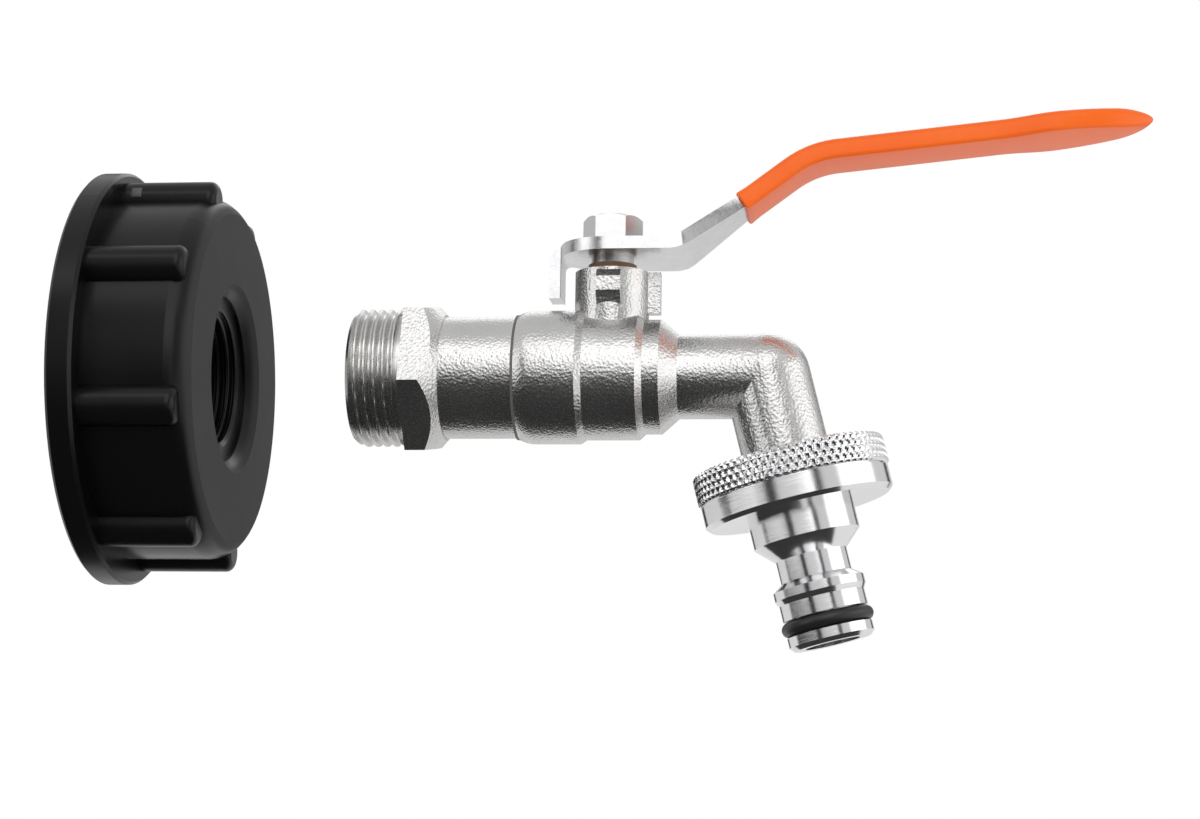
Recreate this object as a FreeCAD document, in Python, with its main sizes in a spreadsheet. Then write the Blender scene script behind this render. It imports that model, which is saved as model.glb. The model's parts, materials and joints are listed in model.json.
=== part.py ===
"""Tank valve: a ball-type bib tap with a lever, a hose adapter and a tank cap.

Millimetres. The origin is the centre of the inlet mouth, +X runs along the flow to the
outlet elbow, +Z runs up the stem and +Y is the far side. The cap stands off the inlet on the
same axis, unscrewed. Every size is a cell of the sheet "dims", and the features are bound to it.
"""
import FreeCAD
import Part
import Sketcher
import math
import os

SIZES = {
    # running gaps
    "fit_gap": 0.05,            # radial gap of a turning shaft in its hole
    "thread_gap": 0.1,          # radial gap between two threads, both drawn plain
    "seat_gap": 0.05,           # gap between parts that rest on each other
    # inlet end: G 3/4 thread, hexagon, pipe and the spigot that screws into the body
    "thread_dia": 26.44,
    "thread_len": 10.5,
    "thread_chamfer": 1.2,
    "relief_len": 1.2,
    "relief_depth": 1.3,
    "hex_width": 27.0,
    "hex_len": 7.0,
    "hex_turn": 11.0,
    "pipe_dia": 23.4,
    "pipe_len": 13.8,
    "inlet_bore": 17.0,
    "bore_mouth_chamfer": 1.0,
    # body seal between pipe and housing
    "seal_dia": 24.0,
    "seal_thick": 0.5,
    # cast body, from the joint line towards the outlet
    "housing_dia": 25.6,
    "housing_round_len": 3.0,
    "housing_round_drop": 0.8,
    "housing_len": 11.6,
    "step_len": 1.2,
    "middle_dia": 24.1,
    "middle_len": 10.1,
    "shoulder_dia": 21.9,
    "shoulder_len": 3.1,
    "cone_len": 3.3,
    "neck_dia": 16.1,
    "elbow_reach": 29.7,        # stem axis to the elbow's corner
    "outlet_lean": 13.9,        # outlet axis from straight down, towards +X
    "spout_dia": 16.6,
    "stem_from_joint": 17.4,    # body joint line to the stem axis
    # ball, seats and the chamber round them
    "ball_dia": 18.0,
    "ball_bore": 11.5,
    "chamber_gap": 0.6,
    "seat_outer_gap": 0.05,
    "seat_start": 4.9,          # ball centre to the near face of a seat
    "seat_len": 2.7,
    "spigot_dia": 22.0,
    "step_depth": 0.3,          # spigot face to the step of the chamber
    # boss with its two pads and its fin
    "boss_dia": 14.2,
    "boss_top": 20.2,
    "pad_width": 4.6,
    "pad_reach": 8.7,
    "pad_top": 19.6,
    "pad_edge": 15.3,
    "pad_slope_len": 2.2,
    "fin_thick": 2.4,
    "fin_reach": 9.4,
    "fin_bottom": 12.2,
    # stem
    "stem_dia": 8.2,
    "collar_dia": 10.4,
    "collar_len": 1.5,
    "collar_bottom": 9.65,
    "tang_width": 3.0,
    "tang_depth": 2.2,
    "slot_gap": 0.1,
    "thrust_thick": 0.6,
    "groove_depth": 1.1,
    "groove_len": 1.7,
    "ring_low": 13.6,
    "ring_high": 17.0,
    "dust_ring_width": 0.5,
    "dust_ring_len": 1.5,
    "flat_width": 4.6,
    "stud_dia": 6.0,
    "stud_top": 30.4,
    # lever plate, tab, slope and handle
    "plate_thick": 2.4,
    "plate_bottom": 22.9,
    "plate_dia": 20.4,
    "tab_inner": 9.5,
    "tab_width": 5.9,
    "tab_bottom": 14.9,
    "tab_bend": 2.7,
    "slope_start": 13.3,
    "slope_angle": 36.5,
    "slope_len": 31.0,
    "slope_bend": 6.0,
    "handle_angle": 6.0,
    "handle_len": 64.2,
    "handle_bend": 18.0,
    "wide_end": 14.0,
    "narrow_start": 27.0,
    "narrow_width": 10.4,
    "paddle_start": 78.0,
    "paddle_full": 90.0,
    "paddle_width": 13.0,
    "grip_coat": 0.8,
    "grip_start": 14.6,         # along the slope, from its corner
    "lever_hole_gap": 0.1,
    # lever nut, M6
    "nut_width": 10.0,
    "nut_len": 5.7,
    "nut_chamfer": 0.7,
    # threaded collar at the end of the spout, G 1
    "outlet_thread_dia": 33.25,
    "outlet_thread_len": 5.4,
    "outlet_thread_chamfer": 0.8,
    "spout_fillet": 1.5,
    "spout_bore": 12.0,
    # hose adapter, turned from bar
    "adapter_top": 16.0,
    "knurl_dia": 36.8,
    "knurl_len": 5.6,
    "neck_groove_len": 0.4,
    "neck_groove_depth": 0.5,
    "rim_dia": 36.0,
    "rim_len": 3.7,
    "rim_chamfer": 0.8,
    "socket_floor": 2.4,
    "washer_thick": 1.6,
    "washer_bore": 20.0,
    "plug_base_dia": 20.2,
    "plug_base_len": 5.3,
    "plug_cone_len": 3.2,
    "plug_neck_dia": 13.5,
    "plug_neck_len": 4.2,
    "bead_rise_len": 1.4,
    "bead_dia": 17.3,
    "bead_len": 1.6,
    "bead_fall_len": 1.0,
    "plug_dia": 16.2,
    "plug_len": 3.0,
    "plug_groove_len": 3.1,
    "plug_ring_dia": 2.8,
    "plug_ring_stand": 0.65,
    "tip_len": 2.6,
    "tip_chamfer": 0.8,
    "plug_bore": 10.4,
    # tank cap, S60x6 thread at the back and G 3/4 at the front
    "cap_gap": 24.0,            # cap face to inlet mouth
    "cap_len": 25.0,
    "flange_dia": 80.0,
    "flange_thick": 5.0,
    "cap_dia": 70.0,
    "cap_face_dia": 64.0,
    "cap_shoulder": 4.5,
    "tank_thread_dia": 60.0,
    "tank_thread_len": 12.0,
    "tank_relief_len": 4.0,
    "tank_relief_depth": 0.5,
    "cap_mouth_dia": 36.6,
    "cap_mouth_len": 2.3,
    "cap_recess_dia": 32.0,
    "cap_recess_len": 3.0,
    "cap_socket_dia": 35.0,
    "cap_socket_len": 4.0,
    "rib_dia": 7.6,
    "rib_stand": 3.2,
    "rib_front": 1.8,
    "rib_edge": 1.6,
    "rib_count": 8,
    "cap_roll": 18.0,
    "wire_hole_len": 2.0,
    "wire_hole_tall": 1.6,
    "wire_hole_from_flange": 1.8,
    "cap_seal_bore": 44.0,
    "cap_seal_thick": 3.0,
    "cap_seal_gap": 0.4,
}


class Size:
    """A number together with the sheet expression that gives it."""

    def __init__(self, value, text):
        self.value = value
        self.text = text

    def __add__(self, other):
        other = as_size(other)
        return Size(self.value + other.value, f"({self.text} + {other.text})")

    def __sub__(self, other):
        other = as_size(other)
        return Size(self.value - other.value, f"({self.text} - {other.text})")

    def __mul__(self, other):
        other = as_size(other)
        return Size(self.value * other.value, f"({self.text} * {other.text})")

    def __truediv__(self, other):
        other = as_size(other)
        return Size(self.value / other.value, f"({self.text} / {other.text})")

    def __neg__(self):
        return Size(-self.value, f"(-1 * {self.text})")

    __radd__ = __add__
    __rmul__ = __mul__

    def __rsub__(self, other):
        return as_size(other) - self

    def __rtruediv__(self, other):
        return as_size(other) / self


def as_size(number):
    return number if isinstance(number, Size) else Size(float(number), repr(float(number)))


def sine(angle):
    angle = as_size(angle)
    return Size(math.sin(math.radians(angle.value)), f"sin({angle.text} * 1 deg)")


def cosine(angle):
    angle = as_size(angle)
    return Size(math.cos(math.radians(angle.value)), f"cos({angle.text} * 1 deg)")


def tangent(angle):
    angle = as_size(angle)
    return Size(math.tan(math.radians(angle.value)), f"tan({angle.text} * 1 deg)")


def root(square):
    return Size(math.sqrt(square.value), f"sqrt({square.text})")


class Sheet:
    """The sheet of driving sizes; each size is read as an attribute."""

    def __init__(self, document, name, sizes):
        cells = document.addObject("Spreadsheet::Sheet", name)
        for row, (alias, value) in enumerate(sizes.items(), start=1):
            cells.set(f"A{row}", alias)
            cells.set(f"B{row}", str(value))
            cells.setAlias(f"B{row}", alias)
            setattr(self, alias, Size(value, f"{name}.{alias}"))


doc = FreeCAD.newDocument("tank_valve")
dim = Sheet(doc, "dims", SIZES)
doc.recompute()

# Places that several pieces share, all worked out from the sheet.
hex_end = dim.thread_len + dim.hex_len
pipe_end = hex_end + dim.pipe_len
joint_x = pipe_end + dim.seal_thick
stem_x = joint_x + dim.stem_from_joint
elbow_x = stem_x + dim.elbow_reach
ball_r = dim.ball_dia / 2
chamber_r = ball_r + dim.chamber_gap
seat_far = dim.seat_start + dim.seat_len
spigot_end = stem_x - seat_far
stem_hole_r = dim.stem_dia / 2 + dim.fit_gap
collar_top = dim.collar_bottom + dim.collar_len
thrust_top = collar_top + dim.thrust_thick
collar_hole_r = dim.collar_dia / 2 + dim.fit_gap * 2
plate_mid = dim.plate_bottom + dim.plate_thick / 2
plate_top = dim.plate_bottom + dim.plate_thick
adapter_end = -(dim.adapter_top + dim.knurl_len + dim.neck_groove_len + dim.rim_len + dim.rim_chamfer)
socket_floor = adapter_end + dim.socket_floor
washer_top = socket_floor + dim.seat_gap + dim.washer_thick
plug_cone = adapter_end - dim.plug_base_len
plug_neck = plug_cone - dim.plug_cone_len
bead_start = plug_neck - dim.plug_neck_len
bead_end = bead_start - dim.bead_rise_len - dim.bead_len - dim.bead_fall_len
plug_groove = bead_end - dim.plug_len
tip_start = plug_groove - dim.plug_groove_len
tip_end = tip_start - dim.tip_len
socket_r = dim.outlet_thread_dia / 2 + dim.thread_gap
valve_socket_r = dim.thread_dia / 2 + dim.thread_gap


# ---------------------------------------------------------------- drawing helpers

def new_body(label):
    body = doc.addObject("PartDesign::Body", label)
    body.Label = label
    return body


def new_sketch(body, plane, name, shift=(0, 0, 0), turn=None, tilt=None):
    """A sketch on one of the body's origin planes.

    It can be shifted, turned in that plane, and tilted about the plane's first axis.
    """
    sketch = body.newObject("Sketcher::SketchObject", name)
    for feature in body.Origin.OriginFeatures:
        if feature.Role == plane:
            sketch.AttachmentSupport = [(feature, "")]
    sketch.MapMode = "FlatFace"
    for axis, amount in zip("xyz", shift):
        if isinstance(amount, Size):
            sketch.setExpression(f"AttachmentOffset.Base.{axis}", amount.text)
    if turn is not None:
        set_turn(sketch, "AttachmentOffset", FreeCAD.Vector(0, 0, 1), turn)
    if tilt is not None:
        set_turn(sketch, "AttachmentOffset", FreeCAD.Vector(1, 0, 0), tilt)
    return sketch


def set_turn(item, name, axis, angle):
    """Turn a placement of the item about an axis; the angle is bound to the sheet."""
    setattr(item, name, FreeCAD.Placement(FreeCAD.Vector(), FreeCAD.Rotation(axis, angle.value)))
    item.setExpression(f"{name}.Rotation.Angle", angle.text)


def constrain(sketch, kind, *where, to=None):
    """Add a constraint; a Size is bound to the sheet."""
    if to is None:
        sketch.addConstraint(Sketcher.Constraint(kind, *where))
        return
    index = sketch.addConstraint(Sketcher.Constraint(kind, *where, to.value))
    if "dims" in to.text:
        sketch.setExpression(f"Constraints[{index}]", to.text)


def arc_between(start, end, radius):
    """The shorter arc from start to end; it turns left for a positive radius."""
    chord = end - start
    left = FreeCAD.Vector(-chord.y, chord.x, 0).normalize()
    rise = math.sqrt(max(radius ** 2 - (chord.Length / 2) ** 2, 0))
    centre = (start + end) * 0.5 + left * math.copysign(rise, radius)
    circle = Part.Circle(centre, FreeCAD.Vector(0, 0, 1), abs(radius))
    first = math.atan2(start.y - centre.y, start.x - centre.x)
    last = math.atan2(end.y - centre.y, end.x - centre.x)
    if radius < 0:
        first, last = last, first
    return Part.ArcOfCircle(circle, first, last)


def draw(sketch, corners):
    """Draw a closed outline.

    A corner is (u, v), or (u, v, radius) when an arc reaches it: the arc turns left for a
    positive radius and right for a negative one.
    """
    corners = [tuple(as_size(number) for number in corner) for corner in corners]
    points = [FreeCAD.Vector(corner[0].value, corner[1].value, 0) for corner in corners]
    sides = []
    for index, corner in enumerate(corners):
        start, end = points[index - 1], points[index]
        if len(corner) == 2:
            sides.append((sketch.addGeometry(Part.LineSegment(start, end)), 1, 2))
            continue
        radius = corner[2]
        arc = sketch.addGeometry(arc_between(start, end, radius.value))
        sides.append((arc, 1, 2) if radius.value > 0 else (arc, 2, 1))
    for index, corner in enumerate(corners):
        side, _, end = sides[index]
        following, start, _ = sides[(index + 1) % len(sides)]
        constrain(sketch, "Coincident", side, end, following, start)
        place(sketch, side, end, corner)
        if len(corner) == 3:
            size = corner[2] if corner[2].value > 0 else -corner[2]
            constrain(sketch, "Radius", side, to=size)


def place(sketch, item, point, corner):
    """Fix a point of the sketch at its two coordinates."""
    for kind, axis, number in (("DistanceX", -2, corner[0]), ("DistanceY", -1, corner[1])):
        if number.value == 0:
            constrain(sketch, "PointOnObject", item, point, axis)
        else:
            constrain(sketch, kind, -1, 1, item, point, to=number)


def draw_circle(sketch, radius):
    """Draw a circle round the origin of the sketch."""
    circle = sketch.addGeometry(Part.Circle(FreeCAD.Vector(), FreeCAD.Vector(0, 0, 1), radius.value))
    constrain(sketch, "Coincident", circle, 3, -1, 1)
    constrain(sketch, "Radius", circle, to=radius)


def spin(body, kind, sketch, name, axis):
    """Turn an outline about an axis of its sketch: a Revolution or a Groove."""
    feature = body.newObject(f"PartDesign::{kind}", name)
    feature.Profile = sketch
    feature.ReferenceAxis = (sketch, [axis])
    feature.Angle = 360
    return feature


def lathe(label, corners, axis="H_Axis", tilt=None):
    """A body turned from one outline."""
    body = new_body(label)
    sketch = new_sketch(body, "XZ_Plane", f"{label}_outline", tilt=tilt)
    draw(sketch, corners)
    spin(body, "Revolution", sketch, f"{label}_turned", axis)
    return body


def extrude(body, kind, sketch, name, length=None, both_ways=False, reverse=False):
    """Pad or pocket an outline; a pocket without a length goes through all."""
    feature = body.newObject(f"PartDesign::{kind}", name)
    feature.Profile = sketch
    if both_ways:
        feature.SideType = "Symmetric"
    if length is None:
        feature.Type = "ThroughAll"
    else:
        feature.setExpression("Length", as_size(length).text)
    feature.Reversed = reverse
    return feature


def box_outline(low_u, high_u, low_v, high_v):
    return [(low_u, low_v), (high_u, low_v), (high_u, high_v), (low_u, high_v)]


def hexagon(width, turn=0):
    """The corners of a hexagon of a given width over its flats."""
    reach = width / (2 * cosine(30))
    return [(reach * cosine(turn + 60 * index), reach * sine(turn + 60 * index)) for index in range(6)]


def stand_at(piece, x=None, z=None, lean=None, roll=None):
    """Bind the piece's placement to the sheet; lean is about Y and roll about X."""
    if lean is not None:
        set_turn(piece, "Placement", FreeCAD.Vector(0, -1, 0), lean)
    if roll is not None:
        set_turn(piece, "Placement", FreeCAD.Vector(1, 0, 0), roll)
    if x is not None:
        piece.setExpression("Placement.Base.x", x.text)
    if z is not None:
        piece.setExpression("Placement.Base.z", z.text)


def ring(label, centre_r, section_r):
    """An O-ring or a similar ring about the local Z axis."""
    torus = doc.addObject("Part::Torus", label)
    torus.Label = label
    torus.setExpression("Radius1", centre_r.text)
    torus.setExpression("Radius2", section_r.text)
    return torus


# ---------------------------------------------------------------- fixed pieces of the valve

def make_inlet_end():
    """Threaded end, hexagon and pipe, with the spigot that holds the inlet seat."""
    thread_r = dim.thread_dia / 2
    mouth_r = dim.inlet_bore / 2
    flow_r = dim.ball_bore / 2
    relief = dim.thread_len - dim.relief_len
    spigot_r = dim.spigot_dia / 2
    flow_start = pipe_end
    body = lathe("inlet_end", [
        (dim.bore_mouth_chamfer, mouth_r),
        (0, mouth_r + dim.bore_mouth_chamfer),
        (0, thread_r - dim.thread_chamfer),
        (dim.thread_chamfer, thread_r),
        (relief, thread_r),
        (relief, thread_r - dim.relief_depth),
        (dim.thread_len, thread_r - dim.relief_depth),
        (hex_end, thread_r - dim.relief_depth),
        (hex_end, dim.pipe_dia / 2),
        (pipe_end, dim.pipe_dia / 2),
        (pipe_end, spigot_r),
        (spigot_end, spigot_r),
        (spigot_end, flow_r),
        (flow_start, mouth_r),
    ])
    flats = new_sketch(body, "YZ_Plane", "hexagon", shift=(0, 0, dim.thread_len))
    draw(flats, hexagon(dim.hex_width, dim.hex_turn))
    extrude(body, "Pad", flats, "hexagon_pad", dim.hex_len)
    corner = new_sketch(body, "XZ_Plane", "hexagon_chamfer")
    corner_r = dim.hex_width / (2 * cosine(30))
    root_r = dim.pipe_dia / 2 + 0.4
    draw(corner, [
        (hex_end, root_r),
        (hex_end, corner_r + 1),
        (hex_end - (corner_r - root_r) * 0.9, corner_r + 1),
        (hex_end - (corner_r - root_r) * 0.9, corner_r),
    ])
    spin(body, "Groove", corner, "hexagon_corners_turned", "H_Axis")
    core = new_sketch(body, "XZ_Plane", "flow_bore")
    draw(core, box_outline(dim.thread_len - 1, hex_end + 1, 0, mouth_r))
    spin(body, "Groove", core, "flow_bore_cleared", "H_Axis")
    return body


def make_body_seal():
    """Flat ring pinched between the pipe's end and the housing."""
    spigot_r = dim.spigot_dia / 2 + dim.seat_gap
    return lathe("body_seal", box_outline(pipe_end, joint_x, spigot_r, dim.seal_dia / 2))


def make_valve_body():
    """Cast body: housing, boss with pads and fin, neck, elbow, spout and threaded collar."""
    housing_r = dim.housing_dia / 2
    middle_r = dim.middle_dia / 2
    shoulder_r = dim.shoulder_dia / 2
    neck_r = dim.neck_dia / 2
    step_one = joint_x + dim.housing_len
    step_two = step_one + dim.step_len + dim.middle_len
    cone = step_two + dim.step_len + dim.shoulder_len
    run, drop = dim.housing_round_len, dim.housing_round_drop
    body = new_body("valve_body")
    outside = new_sketch(body, "XZ_Plane", "housing_outline")
    draw(outside, [
        (joint_x, 0),
        (joint_x, housing_r - drop),
        (joint_x + run, housing_r, -(run * run + drop * drop) / (2 * drop)),
        (step_one, housing_r),
        (step_one + dim.step_len, middle_r),
        (step_two, middle_r),
        (step_two + dim.step_len, shoulder_r),
        (cone, shoulder_r),
        (cone + dim.cone_len, neck_r),
        (elbow_x, neck_r),
        (elbow_x, 0),
    ])
    spin(body, "Revolution", outside, "housing_turned", "H_Axis")

    boss = new_sketch(body, "XZ_Plane", "boss_outline", shift=(stem_x, 0, 0))
    draw(boss, box_outline(0, dim.boss_dia / 2, 0, dim.boss_top))
    spin(body, "Revolution", boss, "boss_turned", "V_Axis")

    fin = new_sketch(body, "XZ_Plane", "fin_outline", shift=(stem_x, 0, 0))
    draw(fin, box_outline(dim.boss_dia / 4, dim.fin_reach, dim.fin_bottom, dim.boss_top))
    extrude(body, "Pad", fin, "fin", dim.fin_thick, both_ways=True)

    pads = new_sketch(body, "YZ_Plane", "pads_outline", shift=(0, 0, stem_x))
    low = dim.pad_edge - dim.pad_slope_len
    root_y = dim.boss_dia / 2 - 1
    draw(pads, [
        (-root_y, low - 1),
        (-dim.pad_reach, dim.pad_edge),
        (-dim.pad_reach, dim.pad_top - 1.6),
        (-dim.pad_reach + 1.6, dim.pad_top),
        (dim.pad_reach - 1.6, dim.pad_top),
        (dim.pad_reach, dim.pad_top - 1.6),
        (dim.pad_reach, dim.pad_edge),
        (root_y, low - 1),
    ])
    extrude(body, "Pad", pads, "pads", dim.pad_width, both_ways=True)

    spout = new_sketch(body, "XZ_Plane", "spout_outline", shift=(elbow_x, 0, 0), turn=dim.outlet_lean)
    spout_r = dim.spout_dia / 2
    collar_r = dim.outlet_thread_dia / 2
    collar_low = washer_top + dim.seat_gap
    collar_top = collar_low + dim.outlet_thread_len
    draw(spout, [
        (0, collar_low),
        (collar_r - dim.outlet_thread_chamfer, collar_low),
        (collar_r, collar_low + dim.outlet_thread_chamfer),
        (collar_r, collar_top),
        (spout_r + dim.spout_fillet, collar_top),
        (spout_r, collar_top + dim.spout_fillet, -dim.spout_fillet),
        (spout_r, 0),
        (0, spout_r, spout_r),
    ])
    spin(body, "Revolution", spout, "spout_turned", "V_Axis")

    flow_r = dim.ball_bore / 2
    spigot_hole_r = dim.spigot_dia / 2 + dim.thread_gap
    inside = new_sketch(body, "XZ_Plane", "chamber_outline")
    step = spigot_end + dim.step_depth
    draw(inside, [
        (joint_x - 1, 0),
        (joint_x - 1, spigot_hole_r),
        (step, spigot_hole_r),
        (step, chamber_r),
        (stem_x + seat_far, chamber_r),
        (stem_x + seat_far, flow_r),
        (elbow_x, flow_r),
        (elbow_x + flow_r, 0, -flow_r),
    ])
    spin(body, "Groove", inside, "chamber_bored", "H_Axis")

    down = new_sketch(body, "XZ_Plane", "spout_bore_outline", shift=(elbow_x, 0, 0), turn=dim.outlet_lean)
    draw(down, box_outline(0, dim.spout_bore / 2, collar_low - 1, 0))
    spin(body, "Groove", down, "spout_bored", "V_Axis")

    bore = new_sketch(body, "XZ_Plane", "stem_bore_outline", shift=(stem_x, 0, 0))
    draw(bore, [
        (0, 0),
        (collar_hole_r, 0),
        (collar_hole_r, thrust_top),
        (stem_hole_r, thrust_top),
        (stem_hole_r, dim.boss_top + 1),
        (0, dim.boss_top + 1),
    ])
    spin(body, "Groove", bore, "stem_bored", "V_Axis")
    return body


def make_seat(label, side):
    """PTFE seat ring, hollowed to the ball; side is -1 at the inlet and 1 at the outlet."""
    outer_r = chamber_r - dim.seat_outer_gap
    inner_r = dim.ball_bore / 2 + 0.3
    touch_r = ball_r + dim.seat_gap
    near = stem_x + side * dim.seat_start
    far = stem_x + side * (seat_far - dim.seat_gap)
    rim_r = root(touch_r * touch_r - dim.seat_start * dim.seat_start)
    inner_x = stem_x + side * root(touch_r * touch_r - inner_r * inner_r)
    return lathe(label, [
        (near, outer_r),
        (far, outer_r),
        (far, inner_r),
        (inner_x, inner_r),
        (near, rim_r, side * touch_r),
    ])


def make_dust_ring():
    """Ring on the boss round the stem."""
    inner_r = dim.stem_dia / 2 + dim.fit_gap
    body = lathe("dust_ring", box_outline(
        inner_r, inner_r + dim.dust_ring_width, dim.boss_top, dim.boss_top + dim.dust_ring_len), "V_Axis")
    stand_at(body, x=stem_x)
    return body


# ---------------------------------------------------------------- pieces that turn with the lever

def make_ball():
    """Ball with its flow bore and the slot that the stem turns it by."""
    bore_r = dim.ball_bore / 2
    reach = root(ball_r * ball_r - bore_r * bore_r)
    body = lathe("ball", [
        (reach, bore_r),
        (0, ball_r, ball_r),
        (-reach, bore_r, ball_r),
    ])
    slot = new_sketch(body, "XZ_Plane", "slot_outline")
    half = dim.tang_width / 2 + dim.slot_gap
    floor = dim.collar_bottom - dim.tang_depth - dim.slot_gap
    draw(slot, box_outline(-half, half, floor, ball_r + 1))
    extrude(body, "Pocket", slot, "slot", both_ways=True)
    stand_at(body, x=stem_x)
    return body


def make_stem():
    """Stem: tang, collar that keeps it in, two ring grooves, flats for the lever and stud."""
    shank_r = dim.stem_dia / 2
    groove_r = shank_r - dim.groove_depth
    half = dim.groove_len / 2
    stud_r = dim.stud_dia / 2
    body = lathe("stem", [
        (0, dim.collar_bottom),
        (dim.collar_dia / 2, dim.collar_bottom),
        (dim.collar_dia / 2, collar_top),
        (shank_r, collar_top),
        (shank_r, dim.ring_low - half),
        (groove_r, dim.ring_low - half),
        (groove_r, dim.ring_low + half),
        (shank_r, dim.ring_low + half),
        (shank_r, dim.ring_high - half),
        (groove_r, dim.ring_high - half),
        (groove_r, dim.ring_high + half),
        (shank_r, dim.ring_high + half),
        (shank_r, dim.plate_bottom),
        (stud_r, dim.plate_bottom),
        (stud_r, dim.stud_top),
        (0, dim.stud_top),
    ], "V_Axis")
    tang = new_sketch(body, "XY_Plane", "tang_outline", shift=(0, 0, dim.collar_bottom))
    half_w = dim.tang_width / 2
    half_l = dim.collar_dia / 2 - 1.4
    draw(tang, box_outline(-half_w, half_w, -half_l, half_l))
    extrude(body, "Pad", tang, "tang", dim.tang_depth, reverse=True)
    flats = new_sketch(body, "XZ_Plane", "flats_outline")
    side = dim.flat_width / 2
    for sign in (-1, 1):
        draw(flats, box_outline(sign * side, sign * (stud_r + 1), dim.plate_bottom, plate_top - 0.1))
    extrude(body, "Pocket", flats, "flats", both_ways=True)
    stand_at(body, x=stem_x)
    return body


def make_thrust_washer():
    """PTFE washer between the stem's collar and the body."""
    inner_r = dim.stem_dia / 2 + dim.fit_gap
    outer_r = dim.collar_dia / 2
    body = lathe("stem_thrust_washer", box_outline(
        inner_r, outer_r, collar_top, thrust_top - dim.seat_gap), "V_Axis")
    stand_at(body, x=stem_x)
    return body


def make_stem_ring(label, height):
    """O-ring in a groove of the stem."""
    section_r = (dim.groove_depth + dim.fit_gap / 2) / 2
    torus = ring(label, dim.stem_dia / 2 - dim.groove_depth + section_r, section_r)
    stand_at(torus, x=stem_x, z=height)
    return torus


def strip_outline(start, angles, corners, end, half):
    """Side view of a bent strip: two sides at a distance half from a path.

    The path runs from start through corners (x, z, bend radius) to end; angles are its
    directions between them, in degrees.
    """
    left, right = [], []
    for side, points in ((1, left), (-1, right)):
        offset = [(-sine(angle) * half * side, cosine(angle) * half * side) for angle in angles]
        points.append((start[0] + offset[0][0], start[1] + offset[0][1]))
        for index, (x, z, radius) in enumerate(corners):
            before, after = angles[index], angles[index + 1]
            turn = after - before
            bends_left = turn.value > 0
            size = turn if bends_left else -turn
            reach = radius * tangent(size / 2)
            bend = radius - half * side if bends_left else radius + half * side
            entry = (x - reach * cosine(before) + offset[index][0],
                     z - reach * sine(before) + offset[index][1])
            leave = (x + reach * cosine(after) + offset[index + 1][0],
                     z + reach * sine(after) + offset[index + 1][1])
            points.append(entry)
            points.append(leave + ((bend if bends_left else -bend),))
        points.append((end[0] + offset[-1][0], end[1] + offset[-1][1]))
    back = []
    for index in range(len(right) - 1, -1, -1):
        point = right[index]
        following = right[index + 1] if index + 1 < len(right) else ()
        back.append(point[:2] + ((-following[2],) if len(following) == 3 else ()))
    return left + back


def lever_plan(half_neck, half_paddle, tip, back=None):
    """Plan outline of the lever, one half mirrored: plate, taper, neck, paddle and round tip."""
    plate_r = dim.plate_dia / 2
    upper = [
        (dim.wide_end, plate_r),
        (dim.narrow_start, half_neck),
        (dim.paddle_start, half_neck),
        (dim.paddle_full, half_paddle),
        (tip - half_paddle * 0.8, half_paddle),
    ]
    lower = [(u, -v) for u, v in reversed(upper)]
    return upper, lower


def make_lever():
    """Flat steel lever: plate on the stem, folded tab, slope and handle, cut to its plan."""
    half = dim.plate_thick / 2
    tab_x = -(dim.tab_inner + half)
    bend_z = plate_mid + dim.slope_len * sine(dim.slope_angle)
    bend_x = dim.slope_start + dim.slope_len * cosine(dim.slope_angle)
    end_x = bend_x + dim.handle_len * cosine(dim.handle_angle)
    end_z = bend_z + dim.handle_len * sine(dim.handle_angle)
    body = new_body("lever")
    side = new_sketch(body, "XZ_Plane", "side_outline")
    draw(side, strip_outline(
        (tab_x, dim.tab_bottom),
        [as_size(90), as_size(0), dim.slope_angle, dim.handle_angle],
        [(tab_x, plate_mid, dim.tab_bend), (dim.slope_start, plate_mid, dim.slope_bend),
         (bend_x, bend_z, dim.handle_bend)],
        (end_x, end_z), half))
    extrude(body, "Pad", side, "strip", dim.plate_dia, both_ways=True)
    plan = new_sketch(body, "XY_Plane", "plan_outline")
    draw(plan, box_outline(tab_x * 2, end_x + 10, -dim.plate_dia, dim.plate_dia))
    tongue = dim.tab_width / 2
    plate_r = dim.plate_dia / 2
    root_x = -root(plate_r * plate_r - tongue * tongue)
    upper, lower = lever_plan(dim.narrow_width / 2, dim.paddle_width / 2, end_x)
    draw(plan, [(tab_x - half - 1, -tongue), (tab_x - half - 1, tongue), (root_x, tongue),
                (0, plate_r, -plate_r)] + upper
         + [(end_x, 0, -dim.paddle_width * 0.52)]
         + [lower[0] + (-dim.paddle_width * 0.52,)] + lower[1:]
         + [(0, -plate_r), (root_x, -tongue, -plate_r)])
    extrude(body, "Pocket", plan, "plan_cut", both_ways=True)
    hole = new_sketch(body, "XY_Plane", "hole_outline")
    stud_r = dim.stud_dia / 2 + dim.lever_hole_gap
    flat = dim.flat_width / 2 + dim.lever_hole_gap
    chord = root(stud_r * stud_r - flat * flat)
    draw(hole, [(flat, chord), (-flat, chord, stud_r), (-flat, -chord), (flat, -chord, stud_r)])
    extrude(body, "Pocket", hole, "stem_hole", both_ways=True)
    stand_at(body, x=stem_x)
    return body


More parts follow.
